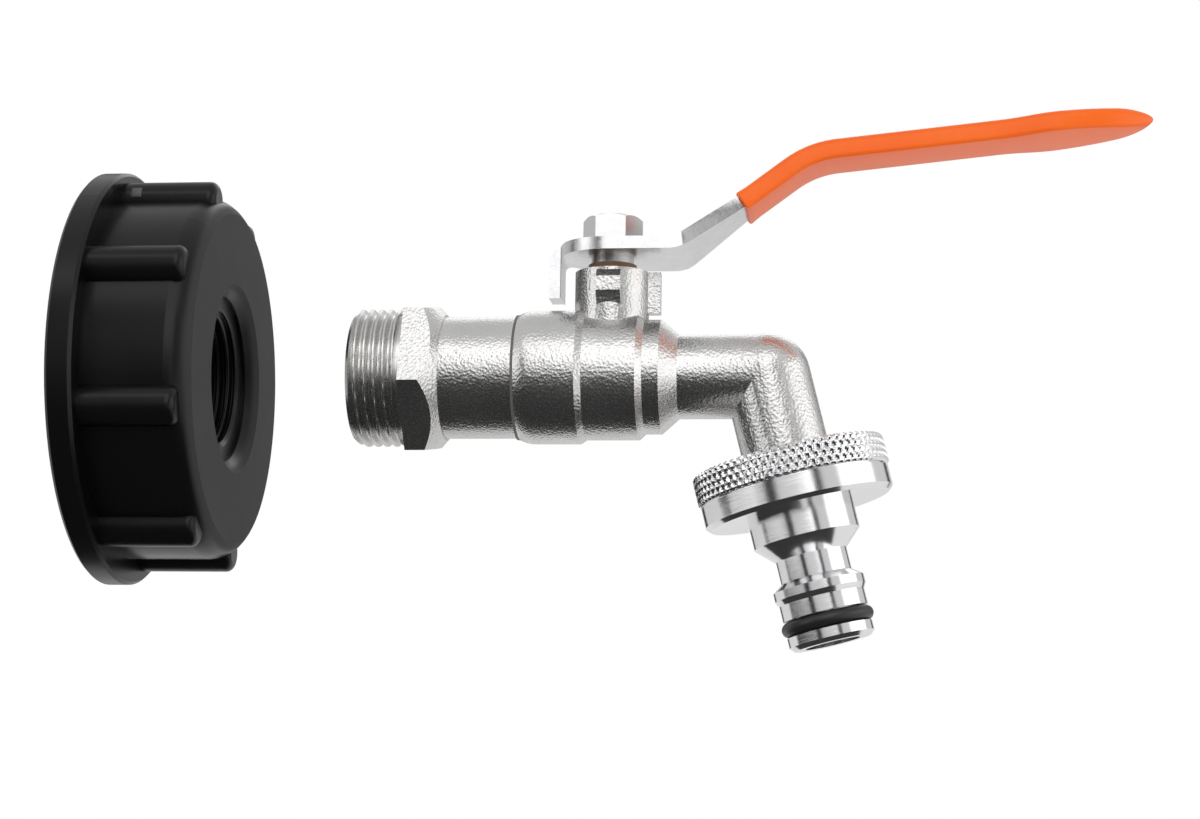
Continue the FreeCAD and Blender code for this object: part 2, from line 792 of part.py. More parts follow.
def make_lever_grip(lever):
    """Dipped vinyl sleeve over the handle."""
    half = dim.plate_thick / 2 + dim.grip_coat
    bend_z = plate_mid + dim.slope_len * sine(dim.slope_angle)
    bend_x = dim.slope_start + dim.slope_len * cosine(dim.slope_angle)
    reach = dim.handle_len + dim.grip_coat
    end_x = bend_x + reach * cosine(dim.handle_angle)
    end_z = bend_z + reach * sine(dim.handle_angle)
    start_x = dim.slope_start + dim.grip_start * cosine(dim.slope_angle)
    start_z = plate_mid + dim.grip_start * sine(dim.slope_angle)
    body = new_body("lever_grip_skin")
    side = new_sketch(body, "XZ_Plane", "grip_side_outline")
    draw(side, strip_outline(
        (start_x, start_z), [dim.slope_angle, dim.handle_angle],
        [(bend_x, bend_z, dim.handle_bend)], (end_x, end_z), half))
    extrude(body, "Pad", side, "grip_strip", dim.plate_dia * 1.2, both_ways=True)
    plan = new_sketch(body, "XY_Plane", "grip_plan_outline")
    draw(plan, box_outline(0, end_x + 10, -dim.plate_dia, dim.plate_dia))
    half_neck = dim.narrow_width / 2 + dim.grip_coat
    half_paddle = dim.paddle_width / 2 + dim.grip_coat
    upper, lower = lever_plan(half_neck, half_paddle, end_x)
    tip_r = dim.paddle_width * 0.52 + dim.grip_coat
    draw(plan, [(dim.slope_start, -dim.plate_dia / 2), (dim.slope_start, dim.plate_dia / 2)]
         + upper + [(end_x, 0, -tip_r)] + [lower[0] + (-tip_r,)] + lower[1:])
    extrude(body, "Pocket", plan, "grip_plan_cut", both_ways=True)
    grip = doc.addObject("Part::Cut", "lever_grip")
    grip.Label = "lever_grip"
    grip.Base = body
    grip.Tool = lever
    stand_at(body, x=stem_x)
    return grip


def make_lever_nut():
    """Hexagon nut on the stud."""
    body = new_body("lever_nut")
    base = plate_top
    flats = new_sketch(body, "XY_Plane", "nut_outline", shift=(0, 0, base))
    draw(flats, hexagon(dim.nut_width))
    extrude(body, "Pad", flats, "nut_pad", dim.nut_len)
    corner_r = dim.nut_width / (2 * cosine(30))
    cut = new_sketch(body, "XZ_Plane", "nut_corner_outline")
    draw(cut, [(dim.nut_width / 2, base + dim.nut_len), (corner_r + 1, base + dim.nut_len),
               (corner_r + 1, base + dim.nut_len - dim.nut_chamfer * 1.8)])
    spin(body, "Groove", cut, "nut_corners_turned", "V_Axis")
    hole = new_sketch(body, "XY_Plane", "nut_hole_outline")
    stud_r = dim.stud_dia / 2 + dim.fit_gap
    draw_circle(hole, stud_r)
    extrude(body, "Pocket", hole, "nut_hole", both_ways=True)
    stand_at(body, x=stem_x)
    return body


# ---------------------------------------------------------------- hose adapter

def make_hose_adapter():
    """Adapter turned from bar: knurled and plain rims, socket for the spout, plug for a hose."""
    top = -dim.adapter_top
    knurl_low = top - dim.knurl_len
    groove_low = knurl_low - dim.neck_groove_len
    rim_low = adapter_end + dim.rim_chamfer
    rim_r = dim.rim_dia / 2
    plug_r = dim.plug_dia / 2
    base_r = dim.plug_base_dia / 2
    neck_r = dim.plug_neck_dia / 2
    bead_r = dim.bead_dia / 2
    ring_floor = plug_r + dim.plug_ring_stand - dim.plug_ring_dia
    bore_r = dim.plug_bore / 2
    bead_top = bead_start - dim.bead_rise_len
    body = lathe("hose_adapter", [
        (socket_r + 0.6, top),
        (dim.knurl_dia / 2, top),
        (dim.knurl_dia / 2, knurl_low),
        (rim_r - dim.neck_groove_depth, knurl_low),
        (rim_r - dim.neck_groove_depth, groove_low),
        (rim_r, groove_low),
        (rim_r, rim_low),
        (rim_r - dim.rim_chamfer, adapter_end),
        (base_r, adapter_end),
        (base_r, plug_cone),
        (neck_r, plug_neck),
        (neck_r, bead_start),
        (bead_r, bead_top),
        (bead_r, bead_top - dim.bead_len),
        (plug_r, bead_end),
        (plug_r, plug_groove),
        (ring_floor, plug_groove),
        (ring_floor, tip_start),
        (plug_r, tip_start),
        (plug_r, tip_end + dim.tip_chamfer),
        (plug_r - dim.tip_chamfer, tip_end),
        (bore_r, tip_end),
        (bore_r, socket_floor),
        (socket_r, socket_floor),
        (socket_r, top - 0.6),
    ], "V_Axis")
    stand_at(body, x=elbow_x, lean=dim.outlet_lean)
    return body


def make_adapter_washer():
    """Flat washer on the floor of the adapter's socket."""
    outer_r = socket_r - dim.thread_gap
    body = lathe("adapter_washer", box_outline(
        dim.washer_bore / 2, outer_r, socket_floor + dim.seat_gap,
        washer_top), "V_Axis")
    stand_at(body, x=elbow_x, lean=dim.outlet_lean)
    return body


def make_adapter_ring():
    """O-ring in the groove of the plug."""
    section_r = dim.plug_ring_dia / 2
    centre_r = dim.plug_dia / 2 + dim.plug_ring_stand - section_r
    torus = ring("adapter_o_ring", centre_r, section_r)
    stand_at(torus, lean=dim.outlet_lean)
    along = (plug_groove + tip_start) / 2
    torus.setExpression("Placement.Base.x", (elbow_x - along * sine(dim.outlet_lean)).text)
    torus.setExpression("Placement.Base.z", (along * cosine(dim.outlet_lean)).text)
    return torus


# ---------------------------------------------------------------- tank cap

def make_cap_shell():
    """Moulded cap: flange, ribbed wall, front face with the valve's socket, tank thread."""
    tank_r = dim.tank_thread_dia / 2
    thread_end = dim.tank_thread_len - dim.cap_len
    web = thread_end + dim.tank_relief_len
    relief_r = tank_r + dim.tank_relief_depth
    flange_front = -(dim.cap_len - dim.flange_thick)
    cap_r = dim.cap_dia / 2
    face_r = dim.cap_face_dia / 2
    flange_r = dim.flange_dia / 2
    boss_r = dim.cap_socket_dia / 2
    recess_r = dim.cap_recess_dia / 2
    recess_x = -dim.cap_recess_len
    body = lathe("cap_shell", [
        (0, dim.cap_mouth_dia / 2),
        (0, face_r),
        (-dim.cap_shoulder, cap_r, dim.cap_shoulder * 1.2),
        (flange_front, cap_r),
        (flange_front, flange_r - 0.6),
        (flange_front - 0.6, flange_r),
        (-dim.cap_len + 0.6, flange_r),
        (-dim.cap_len, flange_r - 0.6),
        (-dim.cap_len, tank_r + 1),
        (-dim.cap_len + 1, tank_r),
        (thread_end, tank_r),
        (thread_end, relief_r),
        (web, relief_r),
        (web, boss_r),
        (web - dim.cap_socket_len, boss_r),
        (web - dim.cap_socket_len, valve_socket_r),
        (recess_x, valve_socket_r),
        (recess_x, recess_r),
        (-dim.cap_mouth_len, recess_r),
    ], tilt=360 / dim.rib_count / 2)
    rib_r = dim.rib_dia / 2
    rib = new_sketch(body, "XZ_Plane", "rib_outline", shift=(0, cap_r + dim.rib_stand - rib_r, 0))
    tip = -dim.rib_front
    draw(rib, [(flange_front - 0.5, 0), (flange_front - 0.5, rib_r), (tip - dim.rib_edge, rib_r),
               (tip, rib_r - dim.rib_edge, -dim.rib_edge), (tip, 0)])
    feature = spin(body, "Revolution", rib, "rib_turned", "H_Axis")
    doc.recompute()
    pattern = body.newObject("PartDesign::PolarPattern", "ribs")
    pattern.Originals = [feature]
    for item in body.Origin.OriginFeatures:
        if item.Role == "X_Axis":
            pattern.Axis = (item, [""])
    pattern.Angle = 360
    pattern.setExpression("Occurrences", dim.rib_count.text)
    body.Tip = pattern
    hole = new_sketch(body, "XZ_Plane", "wire_hole_outline")
    low_x = flange_front + dim.wire_hole_from_flange
    mid_z = cap_r + dim.rib_stand / 2
    draw(hole, box_outline(low_x, low_x + dim.wire_hole_len,
                           mid_z - dim.wire_hole_tall / 2, mid_z + dim.wire_hole_tall / 2))
    extrude(body, "Pocket", hole, "wire_hole", dim.rib_dia * 1.5, both_ways=True)
    stand_at(body, x=-dim.cap_gap, roll=dim.cap_roll)
    return body


def make_cap_seal():
    """Flat ring on the web at the bottom of the tank thread."""
    web = dim.tank_thread_len + dim.tank_relief_len - dim.cap_len
    body = lathe("cap_seal", box_outline(
        web - dim.seat_gap - dim.cap_seal_thick, web - dim.seat_gap,
        dim.cap_seal_bore / 2, dim.tank_thread_dia / 2 - dim.cap_seal_gap))
    stand_at(body, x=-dim.cap_gap)
    return body


# ---------------------------------------------------------------- the whole

def make_pieces():
    lever = make_lever()
    return [
        make_inlet_end(),
        make_body_seal(),
        make_valve_body(),
        make_seat("inlet_seat", -1),
        make_seat("outlet_seat", 1),
        make_dust_ring(),
        make_ball(),
        make_stem(),
        make_thrust_washer(),
        make_stem_ring("stem_o_ring_lower", dim.ring_low),
        make_stem_ring("stem_o_ring_upper", dim.ring_high),
        lever,
        make_lever_grip(lever),
        make_lever_nut(),
        make_hose_adapter(),
        make_adapter_washer(),
        make_adapter_ring(),
        make_cap_shell(),
        make_cap_seal(),
    ]


def check(pieces):
    """Stop on any failed feature and on any piece that isn't a sound solid."""
    for feature in doc.Objects:
        if "Invalid" in feature.State or "Error" in feature.State:
            raise RuntimeError(f"{feature.Label}: {feature.State}")
    for piece in pieces:
        if piece.Shape.isNull() or not piece.Shape.isValid() or not piece.Shape.Solids:
            raise RuntimeError(f"{piece.Label}: no sound solid")


pieces = make_pieces()
doc.recompute()
check(pieces)
os.makedirs("parts", exist_ok=True)
for piece in pieces:
    piece.Shape.exportStep(f"parts/{piece.Label}.step")
    print(f"{piece.Label:20s} {piece.Shape.Volume:10.1f} mm3  {len(piece.Shape.Solids)} solid")
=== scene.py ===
"""Tank valve: the looks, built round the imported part.

Everything is in metres in the part's own frame: the origin is the centre of the inlet mouth,
+X runs along the flow, +Z up the stem and +Y is the far side.
"""

import json
import math

import bmesh
import bpy
from mathutils import Matrix, Vector


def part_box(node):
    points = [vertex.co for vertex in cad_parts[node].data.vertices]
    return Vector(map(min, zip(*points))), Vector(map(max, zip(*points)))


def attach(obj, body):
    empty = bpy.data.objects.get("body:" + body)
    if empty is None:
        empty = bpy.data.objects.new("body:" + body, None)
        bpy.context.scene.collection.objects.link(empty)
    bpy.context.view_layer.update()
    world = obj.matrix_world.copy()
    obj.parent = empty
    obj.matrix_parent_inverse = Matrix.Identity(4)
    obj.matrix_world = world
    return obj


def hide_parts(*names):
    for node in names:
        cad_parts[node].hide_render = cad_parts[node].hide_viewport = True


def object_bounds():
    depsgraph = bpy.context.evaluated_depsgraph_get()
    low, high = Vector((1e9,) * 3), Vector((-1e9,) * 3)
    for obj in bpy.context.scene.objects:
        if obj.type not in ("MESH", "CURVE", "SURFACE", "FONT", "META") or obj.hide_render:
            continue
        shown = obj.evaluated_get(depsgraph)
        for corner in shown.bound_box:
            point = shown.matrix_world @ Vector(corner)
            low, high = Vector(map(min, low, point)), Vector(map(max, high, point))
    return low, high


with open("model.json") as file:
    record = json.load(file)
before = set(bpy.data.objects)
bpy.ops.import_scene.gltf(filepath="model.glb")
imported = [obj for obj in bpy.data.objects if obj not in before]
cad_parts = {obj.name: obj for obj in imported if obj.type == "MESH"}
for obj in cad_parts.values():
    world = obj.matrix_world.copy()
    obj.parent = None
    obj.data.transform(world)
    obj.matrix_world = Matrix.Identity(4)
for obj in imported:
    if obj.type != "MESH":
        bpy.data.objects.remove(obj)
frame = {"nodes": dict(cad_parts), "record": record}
cad_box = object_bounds()

MM = 0.001
JOINTS = {joint["name"]: joint for joint in frame["record"]["behaviour"]["joints"]}
STEM = Vector(JOINTS["lever_turn"]["pos_m"])
ELBOW = Vector(JOINTS["adapter_turn"]["pos_m"])
OUTLET = Vector(JOINTS["adapter_turn"]["axis"]).normalized()
CAP_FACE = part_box("cap_shell")[1][0]
CAP_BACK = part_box("cap_shell")[0][0]

# Inlet thread, G 3/4
INLET_CREST = 13.22 * MM
INLET_PITCH = 1.814 * MM
INLET_DEPTH = 1.16 * MM
INLET_CHAMFER_FOOT = 12.02 * MM
INLET_THREAD_END = 9.3 * MM
# Outlet thread, G 1, on a plain collar of the solid
OUTLET_CREST = 16.62 * MM
OUTLET_PITCH = 2.309 * MM
OUTLET_DEPTH = 1.48 * MM
COLLAR_RADIUS = 16.625 * MM
COLLAR_LEAST = 16.6 * MM       # the collar's points lie farther out than this
COLLAR_SEARCH = (12 * MM, 30 * MM)
# Socket in the cap for the inlet thread, measured back from the cap's face
SOCKET_WALL = 13.32 * MM
SOCKET_CREST = 13.30 * MM
SOCKET_DEPTH = 1.10 * MM
SOCKET_FROM = 13.0 * MM
SOCKET_LENGTH = 10.0 * MM
# Tank thread, 60 mm with 6 mm pitch
TANK_CREST = 30.0 * MM
TANK_PITCH = 6.0 * MM
TANK_DEPTH = 2.0 * MM
TANK_LEAD = 0.6 * MM           # from the cap's back to the thread
TANK_LENGTH = 11.3 * MM
TANK_INSET = 0.02 * MM         # how far the visual crest stays inside the wall
# Form of every thread
THREAD_FLAT = 0.16             # share of the rise that stays flat at the root
THREAD_FLANK = 0.68            # share of the rise that the flank takes
FLANK_STRAIGHT = 0.45          # how straight the flank is, the rest being an S curve
FLANK_ROUND = 0.55
MOUTH_SLOPE = 1.2              # how steeply a female thread opens at its ends
ROOT_GAP = 0.04 * MM           # from a cut core to the thread's root
SMOOTH_BELOW = 20              # degrees: turned pieces are shaded smoothly below this
HIDDEN = 0.25 * MM             # how far a sleeve's back wall sits inside its piece
END_INSET = 0.04 * MM          # keeps a sleeve's ends off the faces they meet
# Knurled rim
KNURL_CREST = 18.4 * MM
KNURL_DEPTH = 0.48 * MM
KNURL_COUNT = 72
KNURL_SLANT = 0.62             # grooves' slant from the axis, as a tangent
KNURL_FROM = 16.0 * MM         # along the outlet's axis
KNURL_TO = 21.6 * MM
KNURL_EDGE = 0.45 * MM
KNURL_TOP = 1.5                # flattens the diamonds' tops
KNURL_FALL = 0.8               # how far the rim's ends fall, as a share of the depth
# Where the inlet piece turns from machined thread to cast skin
CAST_SKIN_START = 10.5 * MM
# Dipped grip: its middle line runs up the slope and along the handle, from the stem's axis
GRIP_CORNER = Vector((38.22 * MM, 0, 42.54 * MM))
GRIP_SLOPE = math.radians(36.5)
GRIP_HANDLE = math.radians(6.0)
GRIP_BEND = 18.0 * MM
GRIP_BEFORE = 16.4 * MM        # from its start to the corner
GRIP_AFTER = 64.9 * MM         # from the corner to its tip
GRIP_HALF = 2.0 * MM           # half its thickness
GRIP_NECK = 6.3 * MM           # half widths
GRIP_PADDLE = 8.0 * MM
GRIP_TOP_ROUND = 1.6 * MM
GRIP_LOW_ROUND = 0.7 * MM
GRIP_FLARE = 0.38              # how fast the start widens, back from the place GRIP_FLARE_END
GRIP_FLARE_END = 27 * MM
GRIP_PADDLE_FROM = 74 * MM     # places along X from the stem's axis
GRIP_PADDLE_TO = 85 * MM
GRIP_TAPER_FROM = 80 * MM
GRIP_TIP_POWERS = (2.2, 0.8)   # fullness and roundness of the tip in plan
GRIP_TIP = 7 * MM              # length over which the thickness rounds off
GRIP_MOUTH = 0.25 * MM         # small rounding at the start
GRIP_THIN = 0.0004             # least squared share of the thickness, at the tip
GRIP_LEAST = 0.02 * MM         # least half width
GRIP_RINGS = 110
GRIP_CROWDING = 1.6            # packs the rings towards the tip
LEVER_IN_GRIP = 4 * MM         # how far the steel runs on inside the grip


# ---------------------------------------------------------------- node graphs

class Value:
    """A node's output that takes part in Python arithmetic by adding Math nodes."""

    def __init__(self, graph, socket):
        self.graph = graph
        self.socket = socket

    def math(self, operation, *others):
        return self.graph.node("ShaderNodeMath", {"operation": operation}, self, *others)

    def __add__(self, other):
        return self.math("ADD", other)

    def __sub__(self, other):
        return self.math("SUBTRACT", other)

    def __mul__(self, other):
        return self.math("MULTIPLY", other)

    def __truediv__(self, other):
        return self.math("DIVIDE", other)

    def __rsub__(self, other):
        return self.graph.node("ShaderNodeMath", {"operation": "SUBTRACT"}, other, self)

    __radd__ = __add__
    __rmul__ = __mul__

    def fraction(self):
        return self.math("FRACT")

    def absolute(self):
        return self.math("ABSOLUTE")

    def at_least(self, other):
        return self.math("MAXIMUM", other)

    def at_most(self, other):
        return self.math("MINIMUM", other)

    def power(self, exponent):
        return self.math("POWER", exponent)

    def is_over(self, other):
        return self.math("GREATER_THAN", other)

    def smooth(self):
        """The smooth step of a value between 0 and 1."""
        return self * self * (3 - 2 * self)


class Graph:
    """Adds nodes to a shader tree or a geometry tree."""

    def __init__(self, tree):
        self.tree = tree

    def node(self, kind, settings=None, *values, output=0, **named):
        """Add a node: its settings first, then the values or links of its sockets."""
        made = self.tree.nodes.new(kind)
        for key, setting in (settings or {}).items():
            if key == "stops":
                self.set_stops(made.color_ramp, setting)
            else:
                setattr(made, key, setting)
        for index, value in enumerate(values):
            self.feed(made.inputs[index], value)
        for name, value in named.items():
            self.feed(made.inputs[name.replace("_", " ")], value)
        return Value(self, made.outputs[output]) if made.outputs else None

    def feed(self, socket, value):
        if isinstance(value, Value):
            self.tree.links.new(value.socket, socket)
        elif value is not None:
            socket.default_value = value

    def set_stops(self, ramp, stops):
        while len(ramp.elements) < len(stops):
            ramp.elements.new(1.0)
        for element, (position, grey) in zip(ramp.elements, stops):
            element.position = position
            element.color = (grey, grey, grey, 1.0)

    def parts(self, vector):
        """The three numbers of a vector."""
        split = self.node("ShaderNodeSeparateXYZ", None, vector)
        return [Value(self, output) for output in split.socket.node.outputs]


# ---------------------------------------------------------------- finishes

class Finish(Graph):
    """A material: a Principled surface and the nodes that vary it."""

    def __init__(self, name):
        self.material = bpy.data.materials.new(name)
        self.material.use_nodes = True
        super().__init__(self.material.node_tree)
        self.tree.nodes.clear()
        self.place = self.node("ShaderNodeTexCoord", output="Object")

    def noise(self, size, detail=2.0, roughness=0.5, place=None):
        """Noise with features of about the given size in metres."""
        return self.node("ShaderNodeTexNoise", None, output="Fac", Vector=place or self.place,
                         Scale=0.6 / size, Detail=detail, Roughness=roughness)

    def grain(self, size, place=None, output="Distance"):
        """Distance to the nearest of many scattered points."""
        return self.node("ShaderNodeTexVoronoi", {"feature": "SMOOTH_F1"}, output=output,
                         Vector=place or self.place, Scale=1 / size, Smoothness=0.6)

    def seen_along(self, origin, axis):
        """Coordinates whose X runs along an axis from an origin."""
        turned = Vector((1, 0, 0)).rotation_difference(axis).to_euler()
        return self.node("ShaderNodeMapping", {"vector_type": "TEXTURE"}, Vector=self.place,
                         Location=tuple(origin), Rotation=tuple(turned))

    def bump(self, height, depth, strength=1.0, under=None):
        return self.node("ShaderNodeBump", None, Height=height, Distance=depth,
                         Strength=strength, Normal=under)

    def blend(self, share, low, high):
        """A colour between two, by a share from 0 to 1."""
        unused = [None] * 5
        return self.node("ShaderNodeMix", {"data_type": "RGBA"}, share, *unused, low, high,
                         output=2)

    def surface(self, colour, roughness, metallic=0.0, normal=None, coat=0.0, coat_roughness=0.1,
                specular=0.5):
        shader = self.node("ShaderNodeBsdfPrincipled", None, Base_Color=colour, Roughness=roughness,
                           Metallic=metallic, Normal=normal, Coat_Weight=coat,
                           Coat_Roughness=coat_roughness, Specular_IOR_Level=specular)
        self.node("ShaderNodeOutputMaterial", None, shader)
        return self.material


def plated(name, cast_share):
    """Nickel plate; cast_share gives how much is pebbled cast skin at a place along X."""
    finish = Finish(name)
    along = finish.parts(finish.place)[0]
    share = cast_share(along)
    pebbles = finish.grain(0.52 * MM)
    lumps = finish.noise(1.5 * MM, detail=3.0)
    fine = finish.noise(0.25 * MM, detail=2.0)
    height = pebbles * 0.7 + lumps * 0.5 + fine * 0.35
    lines = finish.node("ShaderNodeTexNoise", {"noise_dimensions": "1D"}, output="Fac",
                        W=along / (0.25 * MM), Scale=1.0, Detail=3.0)
    skin = finish.bump(height * share, 0.10 * MM)
    normal = finish.bump(lines * (1 - share), 0.012 * MM, under=skin)
    stain = finish.noise(6 * MM, detail=4.0)
    colour = finish.blend(stain.smooth(), (0.56, 0.555, 0.545, 1), (0.72, 0.715, 0.705, 1))
    return finish.surface(colour, 0.22 + 0.12 * fine, 1.0, normal)


def nickel_over_casting():
    """Nickel plate over a sand-like cast skin."""
    return plated("nickel_over_casting", lambda along: 1)


def machined_nickel():
    """Nickel plate over a machined thread, and over cast skin behind it."""
    return plated("machined_nickel", lambda along: along.is_over(CAST_SKIN_START))


def turned_bright():
    """Bright turned metal with tool lines round the outlet's axis."""
    finish = Finish("turned_bright")
    along, across, deep = finish.parts(finish.seen_along(ELBOW, OUTLET))
    off_axis = (across * across + deep * deep).power(0.5)
    lines = finish.node("ShaderNodeTexNoise", {"noise_dimensions": "1D"}, output="Fac",
                        W=(along + off_axis) / (0.14 * MM), Scale=1.0, Detail=4.0, Roughness=0.6)
    wide = finish.node("ShaderNodeTexNoise", {"noise_dimensions": "1D"}, output="Fac",
                       W=(along + off_axis) / (1.4 * MM), Scale=1.0, Detail=2.0)
    colour = finish.blend(lines, (0.74, 0.74, 0.75, 1), (0.86, 0.86, 0.87, 1))
    return finish.surface(colour, 0.09 + 0.08 * wide, 1.0, finish.bump(lines, 0.008 * MM))


def bright_steel():
    """Bright plated sheet steel."""
    finish = Finish("bright_steel")
    cloud = finish.noise(2.5 * MM, detail=4.0)
    pits = finish.noise(0.6 * MM, detail=2.0)
    colour = finish.blend(cloud, (0.60, 0.60, 0.61, 1), (0.76, 0.76, 0.77, 1))
    height = cloud * 0.6 + pits * 0.4
    return finish.surface(colour, 0.18 + 0.14 * pits, 1.0, finish.bump(height, 0.05 * MM))


def dipped_vinyl():
    """Glossy orange dipped vinyl, a little wavy."""
    finish = Finish("dipped_vinyl")
    wave = finish.noise(5 * MM, detail=2.0)
    colour = finish.blend(wave, (0.82, 0.105, 0.001, 1), (0.87, 0.140, 0.002, 1))
    return finish.surface(colour, 0.34, 0.0, finish.bump(wave, 0.10 * MM), coat=0.06,
                          coat_roughness=0.15, specular=0.28)


def moulded_black():
    """Black moulded plastic: glossy on the wall and ribs, matt and greyer on the front face."""
    finish = Finish("moulded_black")
    along = finish.parts(finish.place)[0]
    front = ((along - (CAP_FACE - 1.6 * MM)) / (1.3 * MM)).at_least(0).at_most(1).smooth()
    cloud = finish.noise(9 * MM, detail=3.0)
    fine = finish.noise(0.4 * MM, detail=2.0)
    colour = finish.blend(front, (0.003, 0.003, 0.003, 1), (0.030, 0.030, 0.031, 1))
    roughness = 0.24 + 0.12 * cloud + 0.36 * front
    return finish.surface(colour, roughness, 0.0, finish.bump(fine, 0.012 * MM), specular=0.26)


def plain(name, colour, roughness, metallic=0.0, size=1.0 * MM, depth=0.01 * MM):
    """A plain finish with a faint unevenness."""
    finish = Finish(name)
    uneven = finish.noise(size)
    return finish.surface(colour + (1,), roughness - 0.05 + 0.1 * uneven, metallic,
                          finish.bump(uneven, depth))


FINISHES = {
    "nickel_cast": nickel_over_casting(),
    "nickel_plate": machined_nickel(),
    "turned_metal": turned_bright(),
    "lever_steel": bright_steel(),
    "nut_steel": plain("bright_nut", (0.62, 0.62, 0.63), 0.22, 1.0, depth=0.02 * MM),
    "plated_stem": plain("plated_stem", (0.62, 0.61, 0.60), 0.30, 1.0),
    "chrome_ball": plain("chrome_ball", (0.82, 0.82, 0.83), 0.10, 1.0, depth=0.002 * MM),
    "orange_vinyl": dipped_vinyl(),
    "black_plastic": moulded_black(),
    "black_rubber": plain("black_rubber", (0.012, 0.012, 0.012), 0.38),
    "white_seat": plain("white_seat", (0.80, 0.80, 0.77), 0.50),
    "amber_ring": plain("amber_ring", (0.24, 0.13, 0.06), 0.50),
    "seal_ring": plain("seal_ring", (0.10, 0.09, 0.08), 0.55),
}
SLOT_OF = {part["node"]: part["material_slot"] for part in frame["record"]["subparts"]}


def dress(piece, node):
    """Give a piece the finish of a CAD node's slot."""
    piece.data.materials.clear()
    piece.data.materials.append(FINISHES[SLOT_OF[node]])


def body_of_node(node):
    """The moving body that a CAD node belongs to."""
    bodies = frame["record"]["behaviour"]["bodies"]
    return next(body for body, nodes in bodies.items() if node in nodes)


# ---------------------------------------------------------------- geometry trees

def new_tree(name, sizes):
    """A geometry tree with one number input per size; returns its graph and the sizes."""
    tree = bpy.data.node_groups.new(name, "GeometryNodeTree")
    for size in sizes:
        tree.interface.new_socket(size, in_out="INPUT", socket_type="NodeSocketFloat")
    tree.interface.new_socket("Geometry", in_out="OUTPUT", socket_type="NodeSocketGeometry")
    graph = Graph(tree)
    inputs = graph.node("NodeGroupInput").socket.node
    return graph, [Value(graph, inputs.outputs[size]) for size in sizes]


def sleeve_tree(name, sizes, surface_radius):
    """A closed sleeve round X whose outer or inner wall follows a rule.

    The first five sizes are Start, Length, Back Radius, Rings and Around; surface_radius gives
    the wall's radius from the turn (0 to 1), the place along X, the other sizes, the start and
    the length.
    """
    graph, values = new_tree(name, ["Start", "Length", "Back Radius", "Rings", "Around"] + sizes)
    start, length, back, rings, around = values[:5]
    whole = graph.node("FunctionNodeFloatToInt", None, rings + 4)
    count = graph.node("FunctionNodeFloatToInt", None, around + 1)
    grid = graph.node("GeometryNodeMeshGrid", None, Size_X=1.0, Size_Y=1.0,
                      Vertices_X=count, Vertices_Y=whole)
    where = graph.parts(graph.node("GeometryNodeInputPosition"))
    turn = where[0] + 0.5
    ring = (where[1] + 0.5) * (rings + 3)
    share = ((ring - 1) / rings).at_least(0).at_most(1)
    along = start + length * share * (1 - ring.is_over(rings + 2.5))
    on_wall = ring.is_over(0.5) * (1 - ring.is_over(rings + 1.5))
    wall = surface_radius(turn, along, values[5:], start, length)
    radius = back + (wall - back) * on_wall
    angle = turn * math.tau
    place = graph.node("ShaderNodeCombineXYZ", None, along, radius * angle.math("COSINE"),
                       radius * angle.math("SINE"))
    moved = graph.node("GeometryNodeSetPosition", None, Geometry=grid, Position=place)
    joined = graph.node("GeometryNodeMergeByDistance", None, Geometry=moved, Distance=0.001 * MM)
    plain_mesh = graph.node("GeometryNodeRealizeInstances", None, Geometry=joined)
    shaded = graph.node("GeometryNodeSetMaterial", None, Geometry=plain_mesh)
    shaded.socket.node.inputs["Material"].default_value = FINISHES["nickel_plate"]
    graph.node("NodeGroupOutput", None, shaded)
    return graph.tree


def tent(value):
    """A wave that rises from 0 to 1 and falls back as the value grows by 1."""
    return 1 - (value.fraction() - 0.5).absolute() * 2


def thread_radius(turn, along, crest, depth, pitch):
    """A rounded V thread, the same for a male and for a female one."""
    ridge = tent(along / pitch - turn)
    flank = ((ridge - THREAD_FLAT) / THREAD_FLANK).at_least(0).at_most(1)
    height = flank * FLANK_STRAIGHT + flank.smooth() * FLANK_ROUND
    return crest - depth * (1 - height)


def outer_thread(turn, along, sizes, start, length):
    """A male thread with a chamfer that rises from the Foot radius at its start."""
    crest, depth, pitch, foot = sizes
    return thread_radius(turn, along, crest, depth, pitch).at_most(foot + (along - start))


def inner_thread(turn, along, sizes, start, length):
    """A female thread: the same ridges seen from inside, opened out at both ends."""
    crest, depth, pitch, foot = sizes
    radius = thread_radius(turn, along, crest, depth, pitch)
    from_start = foot - (along - start) * MOUTH_SLOPE
    from_end = foot - (start + length - along) * MOUTH_SLOPE
    return radius.at_least(from_start).at_least(from_end).at_most(crest)


def knurl_radius(turn, along, sizes, start, length):
    """Diamonds cut by two crossing sets of slanting grooves."""
    crest, depth, count, margin = sizes
    across = turn * count
    rise = (along - start) / length * (length * count / (math.tau * crest)) * KNURL_SLANT
    top = (tent(across + rise).at_most(tent(across - rise)) * KNURL_TOP).at_most(1)
    edge = ((along - start).at_most(start + length - along) / margin).at_least(0).at_most(1)
    return crest - depth * (1 - top) - depth * KNURL_FALL * (1 - edge)


MALE_THREAD = sleeve_tree("male_thread", ["Crest", "Depth", "Pitch", "Foot"], outer_thread)
FEMALE_THREAD = sleeve_tree("female_thread", ["Crest", "Depth", "Pitch", "Foot"], inner_thread)
KNURL = sleeve_tree("diamond_knurl", ["Crest", "Depth", "Count", "Edge"], knurl_radius)


